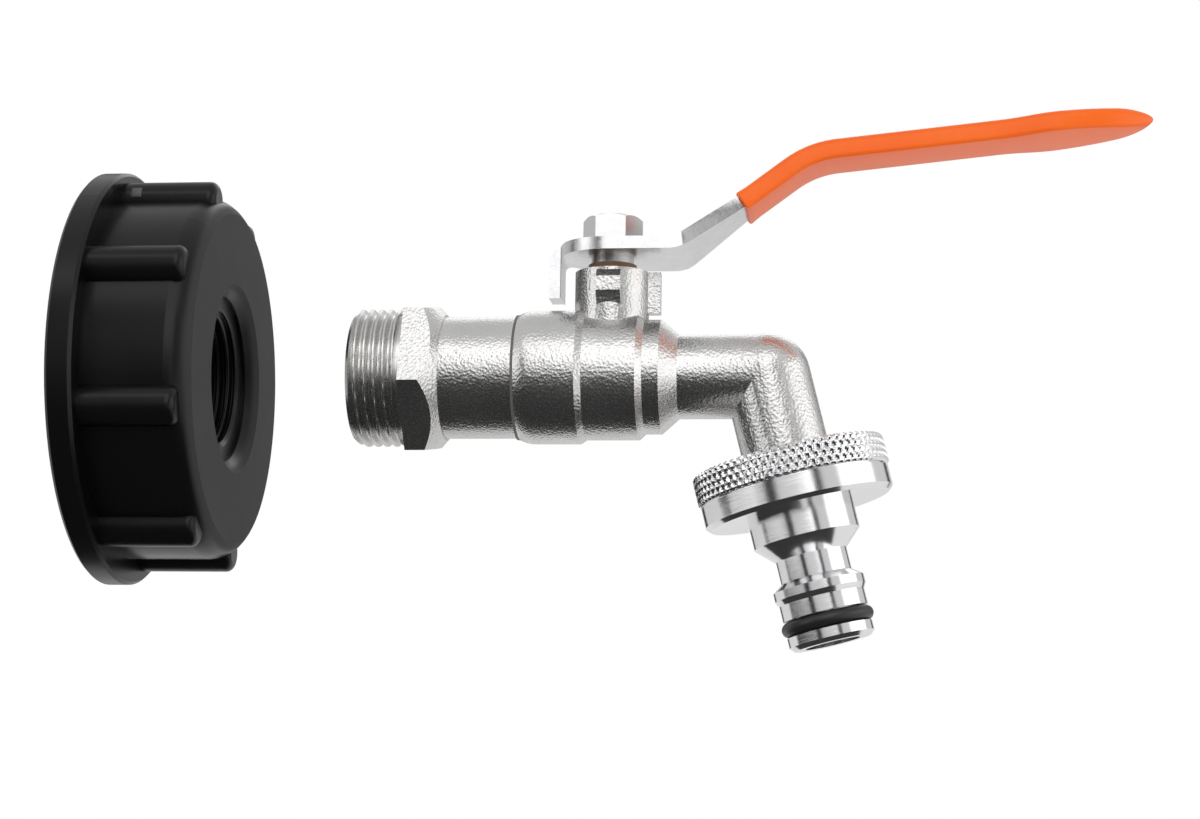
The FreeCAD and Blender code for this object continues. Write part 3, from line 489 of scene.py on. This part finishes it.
def grow(name, tree, sizes, axis=Vector((1, 0, 0)), origin=Vector((0, 0, 0))):
    """Run a sleeve tree and return its mesh object, laid along an axis from an origin."""
    holder = bpy.data.objects.new(name, bpy.data.meshes.new(name))
    bpy.context.scene.collection.objects.link(holder)
    modifier = holder.modifiers.new("grow", "NODES")
    modifier.node_group = tree
    for item in tree.interface.items_tree:
        if item.in_out == "INPUT":
            modifier[item.identifier] = float(sizes[item.name])
    evaluated = holder.evaluated_get(bpy.context.evaluated_depsgraph_get())
    mesh = bpy.data.meshes.new_from_object(evaluated)
    holder.modifiers.clear()
    holder.data = mesh
    turned = Vector((1, 0, 0)).rotation_difference(axis).to_matrix().to_4x4()
    mesh.transform(Matrix.Translation(origin) @ turned)
    face_outwards(holder)
    return holder


def face_outwards(piece):
    """Point every face outwards and shade the piece smoothly."""
    shape = bmesh.new()
    shape.from_mesh(piece.data)
    bmesh.ops.recalc_face_normals(shape, faces=shape.faces)
    for face in shape.faces:
        face.smooth = True
    shape.to_mesh(piece.data)
    shape.free()


# ---------------------------------------------------------------- copies of CAD nodes

def cad_copy(node, name):
    """A merged copy of a CAD node's mesh."""
    piece = bpy.data.objects.new(name, frame["nodes"][node].data.copy())
    bpy.context.scene.collection.objects.link(piece)
    shape = bmesh.new()
    shape.from_mesh(piece.data)
    bmesh.ops.remove_doubles(shape, verts=shape.verts, dist=0.0005 * MM)
    shape.to_mesh(piece.data)
    shape.free()
    return piece


def draw_in(piece, origin, axis, low, high, radius, smaller):
    """Move the points of a round wall, between two places along its axis, to a smaller radius."""
    for vertex in piece.data.vertices:
        offset = vertex.co - origin
        along = offset.dot(axis)
        outward = offset - axis * along
        on_wall = abs(outward.length - radius) < 0.03 * MM
        if on_wall and low - 0.01 * MM <= along <= high + 0.01 * MM:
            vertex.co = origin + axis * along + outward.normalized() * smaller


def join(pieces, name):
    """One object from several."""
    shape = bmesh.new()
    for piece in pieces:
        shape.from_mesh(piece.data)
    mesh = bpy.data.meshes.new(name)
    shape.to_mesh(mesh)
    shape.free()
    for piece in pieces:
        bpy.data.objects.remove(piece)
    joined = bpy.data.objects.new(name, mesh)
    bpy.context.scene.collection.objects.link(joined)
    return joined


def shade_by_angle(piece, degrees=35):
    """Smooth shading with sharp edges where the faces turn."""
    shape = bmesh.new()
    shape.from_mesh(piece.data)
    for face in shape.faces:
        face.smooth = True
    for edge in shape.edges:
        if len(edge.link_faces) == 2:
            edge.smooth = edge.calc_face_angle(0.0) < math.radians(degrees)
    shape.to_mesh(piece.data)
    shape.free()


def settle(piece, node, *replaced):
    """Finish a piece: its material, the body it rides on and the nodes it stands for."""
    dress(piece, node)
    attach(piece, body_of_node(node))
    if replaced:
        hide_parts(*replaced)


# ---------------------------------------------------------------- threaded and knurled pieces

def make_inlet_end():
    """The inlet end with its thread cut."""
    along = Vector((1, 0, 0))
    centre = Vector((0, 0, 0))
    core = cad_copy("inlet_end", "inlet_end_core")
    root = INLET_CREST - INLET_DEPTH - ROOT_GAP
    draw_in(core, centre, along, 1.0 * MM, INLET_THREAD_END, INLET_CREST, root)
    thread = grow("inlet_thread", MALE_THREAD, {
        "Start": END_INSET, "Length": INLET_THREAD_END - 2 * END_INSET,
        "Back Radius": root - HIDDEN, "Rings": 96, "Around": 128,
        "Crest": INLET_CREST, "Depth": INLET_DEPTH,
        "Pitch": INLET_PITCH, "Foot": INLET_CHAMFER_FOOT})
    piece = join([core, thread], "threaded_inlet")
    shade_by_angle(piece, SMOOTH_BELOW)
    settle(piece, "inlet_end", "inlet_end")


def make_outlet_collar():
    """The cast body with the thread of its outlet collar cut."""
    core = cad_copy("valve_body", "valve_body_core")
    low, high = collar_reach()
    root = OUTLET_CREST - OUTLET_DEPTH - ROOT_GAP
    draw_in(core, ELBOW, OUTLET, low - 0.2 * MM, high, COLLAR_RADIUS, root)
    thread = grow("outlet_thread", MALE_THREAD, {
        "Start": low + END_INSET, "Length": high - low - 2 * END_INSET,
        "Back Radius": root - HIDDEN, "Rings": 60, "Around": 128,
        "Crest": OUTLET_CREST, "Depth": OUTLET_DEPTH,
        "Pitch": OUTLET_PITCH, "Foot": OUTLET_CREST}, OUTLET, ELBOW)
    piece = join([core, thread], "cast_body")
    shade_by_angle(piece, SMOOTH_BELOW)
    settle(piece, "valve_body", "valve_body")


def collar_reach():
    """Where the outlet collar starts and ends along the outlet axis."""
    corners = [Vector(vertex.co) - ELBOW for vertex in frame["nodes"]["valve_body"].data.vertices]
    wide = [point.dot(OUTLET) for point in corners
            if (point - OUTLET * point.dot(OUTLET)).length > COLLAR_LEAST
            and COLLAR_SEARCH[0] < point.dot(OUTLET) < COLLAR_SEARCH[1]]
    return min(wide), max(wide)


def make_hose_adapter():
    """The hose adapter with its knurled rim."""
    core = cad_copy("hose_adapter", "hose_adapter_core")
    root = KNURL_CREST - KNURL_DEPTH * 2
    draw_in(core, ELBOW, OUTLET, KNURL_FROM, KNURL_TO, KNURL_CREST, root)
    knurl = grow("knurl", KNURL, {
        "Start": KNURL_FROM + END_INSET, "Length": KNURL_TO - KNURL_FROM - 2 * END_INSET,
        "Back Radius": root - HIDDEN, "Rings": 36, "Around": KNURL_COUNT * 6,
        "Crest": KNURL_CREST, "Depth": KNURL_DEPTH, "Count": KNURL_COUNT,
        "Edge": KNURL_EDGE}, OUTLET, ELBOW)
    piece = join([core, knurl], "knurled_adapter")
    shade_by_angle(piece, SMOOTH_BELOW)
    settle(piece, "hose_adapter", "hose_adapter")


def make_cap_threads():
    """Female threads inside the cap: the valve's socket and the tank's."""
    socket = grow("cap_valve_thread", FEMALE_THREAD, {
        "Start": CAP_FACE - SOCKET_FROM + END_INSET, "Length": SOCKET_LENGTH - 2 * END_INSET,
        "Back Radius": SOCKET_WALL + HIDDEN, "Rings": 120, "Around": 128,
        "Crest": SOCKET_CREST, "Depth": SOCKET_DEPTH, "Pitch": INLET_PITCH,
        "Foot": SOCKET_CREST})
    settle(socket, "cap_shell")
    tank = grow("cap_tank_thread", FEMALE_THREAD, {
        "Start": CAP_BACK + TANK_LEAD, "Length": TANK_LENGTH,
        "Back Radius": TANK_CREST + HIDDEN, "Rings": 60, "Around": 160,
        "Crest": TANK_CREST - TANK_INSET, "Depth": TANK_DEPTH, "Pitch": TANK_PITCH,
        "Foot": TANK_CREST - TANK_INSET})
    settle(tank, "cap_shell")


# ---------------------------------------------------------------- lever and grip

def on_grip(travel):
    """The place and the slope of the grip's middle line at a travel from its start."""
    turn = GRIP_SLOPE - GRIP_HANDLE
    reach = GRIP_BEND * math.tan(turn / 2)
    before = GRIP_BEFORE - reach
    arc = GRIP_BEND * turn
    slope = Vector((math.cos(GRIP_SLOPE), 0, math.sin(GRIP_SLOPE)))
    handle = Vector((math.cos(GRIP_HANDLE), 0, math.sin(GRIP_HANDLE)))
    if travel < before:
        return GRIP_CORNER - slope * (GRIP_BEFORE - travel), GRIP_SLOPE
    if travel < before + arc:
        angle = GRIP_SLOPE - (travel - before) / GRIP_BEND
        centre = GRIP_CORNER - slope * reach + Vector((slope.z, 0, -slope.x)) * GRIP_BEND
        return centre + Vector((-math.sin(angle), 0, math.cos(angle))) * GRIP_BEND, angle
    return GRIP_CORNER + handle * (travel - before - arc + reach), GRIP_HANDLE


def smooth_rise(value, low, high):
    """The smooth step of a number between two limits."""
    share = min(max((value - low) / (high - low), 0.0), 1.0)
    return share * share * (3 - 2 * share)


def grip_half_width(x, tip_x):
    """Half the width in plan: wider at the start, a neck, and a paddle to a narrow tip."""
    neck = GRIP_NECK + max(GRIP_FLARE_END - x, 0) * GRIP_FLARE
    paddle = (GRIP_PADDLE - GRIP_NECK) * smooth_rise(x, GRIP_PADDLE_FROM, GRIP_PADDLE_TO)
    toward_tip = min(max((x - GRIP_TAPER_FROM) / (tip_x - GRIP_TAPER_FROM), 0.0), 1.0)
    fullness, roundness = GRIP_TIP_POWERS
    return (neck + paddle) * max(1 - toward_tip ** fullness, 0.0) ** roundness


def rounded_section(half_width, half_height, steps=6):
    """Points round a section: bigger roundings on top than below."""
    points = []
    for quarter, across, up in ((0, 1, 1), (1, -1, 1), (2, -1, -1), (3, 1, -1)):
        corner = min(GRIP_TOP_ROUND if up > 0 else GRIP_LOW_ROUND, half_width, half_height)
        for step in range(steps + 1):
            angle = math.radians(90) * (quarter + step / steps)
            points.append((across * (half_width - corner) + corner * math.cos(angle),
                           up * (half_height - corner) + corner * math.sin(angle)))
    return points


def grip_length():
    """The length of the grip's middle line."""
    turn = GRIP_SLOPE - GRIP_HANDLE
    return GRIP_BEFORE + GRIP_AFTER - 2 * GRIP_BEND * math.tan(turn / 2) + GRIP_BEND * turn


def grip_section(travel, length, tip_x, smaller):
    """The points of the grip's section at a travel from its start."""
    place, angle = on_grip(travel)
    up = Vector((-math.sin(angle), 0, math.cos(angle)))
    from_tip = min((length - travel) / GRIP_TIP, 1.0)
    half_height = GRIP_HALF * math.sqrt(max(1 - (1 - from_tip) ** 2, GRIP_THIN)) - smaller
    half_width = max(grip_half_width(place.x, tip_x), GRIP_LEAST) - smaller
    return [STEM + place + Vector((0, across, 0)) + up * rise
            for across, rise in rounded_section(half_width, half_height)]


def make_grip():
    """The dipped grip: rounded sections swept along the lever and closed at a round tip."""
    length = grip_length()
    tip_x = on_grip(length)[0].x
    stations = [(0.0, GRIP_MOUTH), (GRIP_MOUTH, 0.0)]
    for index in range(1, GRIP_RINGS + 1):
        left = (1 - index / GRIP_RINGS) ** GRIP_CROWDING
        stations.append((length * (1 - left), 0.0))
    shape = bmesh.new()
    rings = [[shape.verts.new(point) for point in grip_section(travel, length, tip_x, smaller)]
             for travel, smaller in stations]
    for first, second in zip(rings, rings[1:]):
        for index, vertex in enumerate(first):
            following = (index + 1) % len(first)
            shape.faces.new((vertex, first[following], second[following], second[index]))
    shape.faces.new(rings[0])
    shape.faces.new(rings[-1])
    bmesh.ops.remove_doubles(shape, verts=shape.verts, dist=0.004 * MM)
    bmesh.ops.recalc_face_normals(shape, faces=shape.faces)
    mesh = bpy.data.meshes.new("dipped_grip")
    shape.to_mesh(mesh)
    shape.free()
    piece = bpy.data.objects.new("dipped_grip", mesh)
    bpy.context.scene.collection.objects.link(piece)
    shade_by_angle(piece, 50)
    settle(piece, "lever_grip", "lever_grip")


def make_lever():
    """The steel lever as far as it shows, ending inside the grip."""
    piece = cad_copy("lever", "lever_blade")
    place, angle = on_grip(LEVER_IN_GRIP)
    shape = bmesh.new()
    shape.from_mesh(piece.data)
    cut = bmesh.ops.bisect_plane(
        shape, geom=shape.verts[:] + shape.edges[:] + shape.faces[:], dist=0.0001 * MM,
        plane_co=STEM + place, plane_no=(math.cos(angle), 0, math.sin(angle)), clear_outer=True)
    rim = [item for item in cut["geom_cut"] if isinstance(item, bmesh.types.BMEdge)]
    bmesh.ops.holes_fill(shape, edges=rim)
    bmesh.ops.recalc_face_normals(shape, faces=shape.faces)
    shape.to_mesh(piece.data)
    shape.free()
    shade_by_angle(piece, 30)
    settle(piece, "lever", "lever")


make_inlet_end()
make_outlet_collar()
make_grip()
make_lever()
make_hose_adapter()
make_cap_threads()

for name, node in frame["nodes"].items():
    dress(node, name)


# ---------------------------------------------------------------- floor, light and camera

FLOOR_DROP = 60 * MM           # below the part
FLOOR_REACH = 3.0
SHEET_DROP = 55 * MM           # below the part
SHEET_EDGES = (-0.40, 0.17, -1.4, 0.06)    # left, right, front and back
CARD_DISTANCE = 0.62
CARD_BOTTOM = -0.10
UPRIGHT_CARDS = [              # name, bearing and spread in degrees, top
    ("left_gap", -29, 13, 0.42),
    ("right_gap", 26, 10, 0.42),
    ("far_left_gap", -91, 9, 0.35),
    ("back_left_gap", 205, 14, 0.35),
    ("back_right_gap", 150, 12, 0.35),
]
WORLD_LIGHT = 0.75             # as diffuse light
WORLD_SEEN = 0.25              # added for the camera
WORLD_GLOSSY = 0.06            # taken off in reflections
LAMP_AIM = (0.06, 0, 0)
LAMPS = [                      # name, place, width, height, brightness as seen
    ("key", (0.05, -0.72, 0.46), 0.90, 0.72, 1.12),
    ("right", (0.85, -0.10, 0.18), 0.80, 0.50, 1.0),
    ("left", (-0.62, -0.42, 0.20), 0.34, 0.50, 0.9),
    ("back", (0.06, 0.72, 0.55), 0.60, 0.40, 0.9),
]
CAMERA_TURNS = (6.16, 9.28, 0.84)          # yaw, pitch and roll in degrees
CAMERA_PLACE = (96.6 * MM, -458.1 * MM, -81.5 * MM)
SENSOR_WIDTH = 36.0
FOCAL_LENGTH = 73.44

def add_stage(name, corners, faces, finish):
    """A piece of the set: floor or card, not part of the object."""
    mesh = bpy.data.meshes.new(name)
    mesh.from_pydata(corners, [], faces)
    mesh.materials.append(finish)
    piece = bpy.data.objects.new(name, mesh)
    bpy.context.scene.collection.objects.link(piece)
    return piece


def make_floor():
    """A pale floor below the part."""
    low = cad_box[0][2] - FLOOR_DROP
    reach = FLOOR_REACH
    add_stage("floor", [(-reach, -reach, low), (reach, -reach, low),
                        (reach, reach, low), (-reach, reach, low)], [(0, 1, 2, 3)],
              Finish("pale_floor").surface((0.90, 0.90, 0.90, 1), 0.8))


def add_card(name, corners):
    """A black card that only metal and gloss can see, as is hung beside metal in a studio."""
    card = add_stage(name, corners, [(0, 1, 2, 3)], BLACK_CARD)
    card.visible_camera = False
    card.visible_diffuse = False
    card.visible_shadow = False
    card.visible_transmission = False


def add_upright_card(name, bearing, spread, distance, low, high):
    """An upright card at a bearing from the camera's side; degrees, metres."""
    corners = []
    for turn, height in ((-1, low), (1, low), (1, high), (-1, high)):
        angle = math.radians(bearing + turn * spread / 2)
        corners.append((ELBOW.x + distance * math.sin(angle), -distance * math.cos(angle), height))
    add_card(name, corners)


def make_cards():
    """Dark below in front, and dark gaps between the soft lights."""
    low = cad_box[0][2] - SHEET_DROP
    left, right, front, back = SHEET_EDGES
    add_card("front_sheet", [(left, front, low), (right, front, low), (right, back, low),
                             (left, back, low)])
    for name, bearing, spread, top in UPRIGHT_CARDS:
        add_upright_card(name, bearing, spread, CARD_DISTANCE, CARD_BOTTOM, top)


def make_world():
    """White to the eye; softer as light and in reflections."""
    world = bpy.data.worlds.new("studio")
    world.use_nodes = True
    bpy.context.scene.world = world
    graph = Graph(world.node_tree)
    world.node_tree.nodes.clear()
    path = graph.node("ShaderNodeLightPath").socket.node
    seen = Value(graph, path.outputs["Is Camera Ray"])
    glossy = Value(graph, path.outputs["Is Glossy Ray"])
    through = Value(graph, path.outputs["Is Transmission Ray"])
    strength = WORLD_LIGHT + WORLD_SEEN * (seen + through).at_most(1) - WORLD_GLOSSY * glossy
    light = graph.node("ShaderNodeBackground", None, (1, 1, 1, 1), strength)
    graph.node("ShaderNodeOutputWorld", None, light)


def add_lamp(name, place, aim, width, height, radiance):
    """A soft area lamp that points at the part, with its brightness as seen."""
    lamp = bpy.data.lights.new(name, "AREA")
    lamp.shape = "RECTANGLE"
    lamp.size = width
    lamp.size_y = height
    lamp.energy = radiance * math.pi * width * height
    holder = bpy.data.objects.new(name, lamp)
    bpy.context.scene.collection.objects.link(holder)
    holder.location = place
    holder.rotation_euler = (Vector(aim) - Vector(place)).to_track_quat("-Z", "Y").to_euler()


def make_camera():
    """The camera, a little below the part and looking up."""
    yaw, pitch, roll = (math.radians(degrees) for degrees in CAMERA_TURNS)
    ahead = Vector((-math.sin(yaw) * math.cos(pitch), math.cos(yaw) * math.cos(pitch),
                    math.sin(pitch)))
    side = Vector((math.cos(yaw), math.sin(yaw), 0))
    up = side.cross(ahead)
    right = side * math.cos(roll) + up * math.sin(roll)
    top = up * math.cos(roll) - side * math.sin(roll)
    camera = bpy.data.cameras.new("camera")
    camera.sensor_width = SENSOR_WIDTH
    camera.lens = FOCAL_LENGTH
    camera.clip_start = 0.01
    holder = bpy.data.objects.new("camera", camera)
    bpy.context.scene.collection.objects.link(holder)
    turn = Matrix((right, top, -ahead)).transposed().to_4x4()
    holder.matrix_world = Matrix.Translation(CAMERA_PLACE) @ turn
    bpy.context.scene.camera = holder


BLACK_CARD = Finish("black_card").surface((0.045, 0.045, 0.045, 1), 1.0, specular=0.0)
make_floor()
make_cards()
make_world()
for name, place, width, height, radiance in LAMPS:
    add_lamp(name, place, LAMP_AIM, width, height, radiance)
make_camera()
bpy.context.scene.view_settings.view_transform = "Standard"
